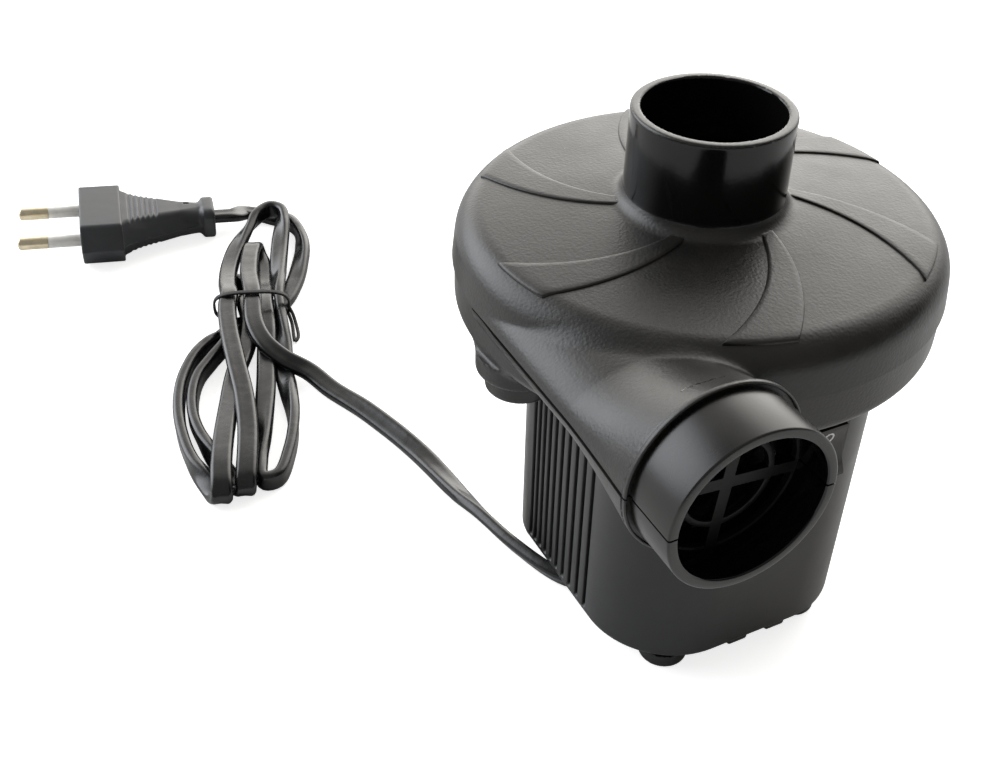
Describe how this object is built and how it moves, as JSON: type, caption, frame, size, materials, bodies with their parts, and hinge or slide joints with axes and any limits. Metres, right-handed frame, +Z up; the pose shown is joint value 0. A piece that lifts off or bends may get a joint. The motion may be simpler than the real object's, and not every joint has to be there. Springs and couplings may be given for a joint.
{
  "type": "electric air pump",
  "caption": "Round centrifugal air pump on a boxed motor casing, with an intake tube on top, an outlet tube at the side and a tied mains cable with plug.",
  "frame": {"origin": "on the fan axis, in the plane the feet rest on", "axes": "+Z up along the fan axis; the outlet tube points along -Y; +X to the right seen from the outlet side"},
  "size_m": [0.1673, 0.2813, 0.1149],
  "materials": {
    "housing_plastic": "black ABS, satin with a fine leather-grain texture",
    "casing_plastic": "black ABS, smooth satin",
    "guard_plastic": "black ABS, as moulded",
    "impeller_plastic": "natural nylon",
    "switch_plastic": null,
    "cable_pvc": "glossy black PVC",
    "plug_pvc": "satin black PVC",
    "rubber": "black rubber",
    "sleeve_plastic": "pale grey nylon",
    "brass": "plain brass",
    "bronze": "sintered bronze",
    "zinc_steel": "zinc-plated steel",
    "ground_steel": "ground steel",
    "lamination_steel": "stacked laminations",
    "copper": "bare copper",
    "enamelled_copper": "varnished copper windings",
    "ferrite": "dark grey ferrite",
    "carbon": "carbon brush",
    "end_bell_plastic": "black phenolic",
    "board": "green fibreglass board",
    "capacitor_film": "yellow box capacitor",
    "wire_red": "red PVC wire",
    "wire_blue": "blue PVC wire"
  },
  "bodies": {
    "pump_body": {"upper_cover": "housing_plastic", "lower_housing": "housing_plastic", "intake_guard": "guard_plastic", "outlet_guard": "guard_plastic", "housing_screws": "zinc_steel", "motor_can": "zinc_steel", "field_magnets": "ferrite", "motor_end_bell": "end_bell_plastic", "top_bearing": "bronze", "bottom_bearing": "bronze", "left_brush_holder": "brass", "right_brush_holder": "brass", "left_brush_spring": "ground_steel", "right_brush_spring": "ground_steel", "motor_terminals": "brass", "motor_damper": "rubber", "motor_screws": "zinc_steel", "rectifier_board": "board", "rectifier_diodes": "end_bell_plastic", "suppression_capacitor": "capacitor_film", "motor_casing": "casing_plastic", "casing_screws": "zinc_steel", "base_plate": "casing_plastic", "base_screws": "zinc_steel", "switch_body": "switch_plastic", "switch_terminals": "brass", "switch_wires": "wire_red", "motor_wires": "wire_blue", "cord_clamp": "end_bell_plastic", "cord_clamp_screws": "zinc_steel", "cable_grommet": "rubber", "power_cable": "cable_pvc", "cable_tie": "rubber", "plug_body": "plug_pvc", "plug_pins": "brass", "pin_sleeves": "sleeve_plastic"},
    "rotor": {"impeller": "impeller_plastic", "impeller_bushing": "brass", "motor_shaft": "ground_steel", "armature_core": "lamination_steel", "armature_windings": "enamelled_copper", "commutator": "copper"},
    "rocker": {"rocker_button": "switch_plastic"},
    "left_brush_carriage": {"left_brush": "carbon"},
    "right_brush_carriage": {"right_brush": "carbon"}
  },
  "joints": [
    {"name": "impeller_spin", "type": "hinge", "parent": "pump_body", "child": "rotor", "pos_m": [0, 0, 0.0823], "axis": [0, 0, 1], "continuous": true},
    {"name": "rocker_press", "type": "hinge", "parent": "pump_body", "child": "rocker", "pos_m": [0.0072, -0.0385, 0.0573], "axis": [1, 0, 0], "range_deg": [0, 16]},
    {"name": "left_brush_push", "type": "slide", "parent": "pump_body", "child": "left_brush_carriage", "axis": [-1, 0, 0], "range_m": [0, 0.0014], "stiffness_N_per_m": 120, "springref_m": -0.002, "deforming": ["left_brush_spring"]},
    {"name": "right_brush_push", "type": "slide", "parent": "pump_body", "child": "right_brush_carriage", "axis": [1, 0, 0], "range_m": [0, 0.0014], "stiffness_N_per_m": 120, "springref_m": -0.002, "deforming": ["right_brush_spring"]}
  ]
}
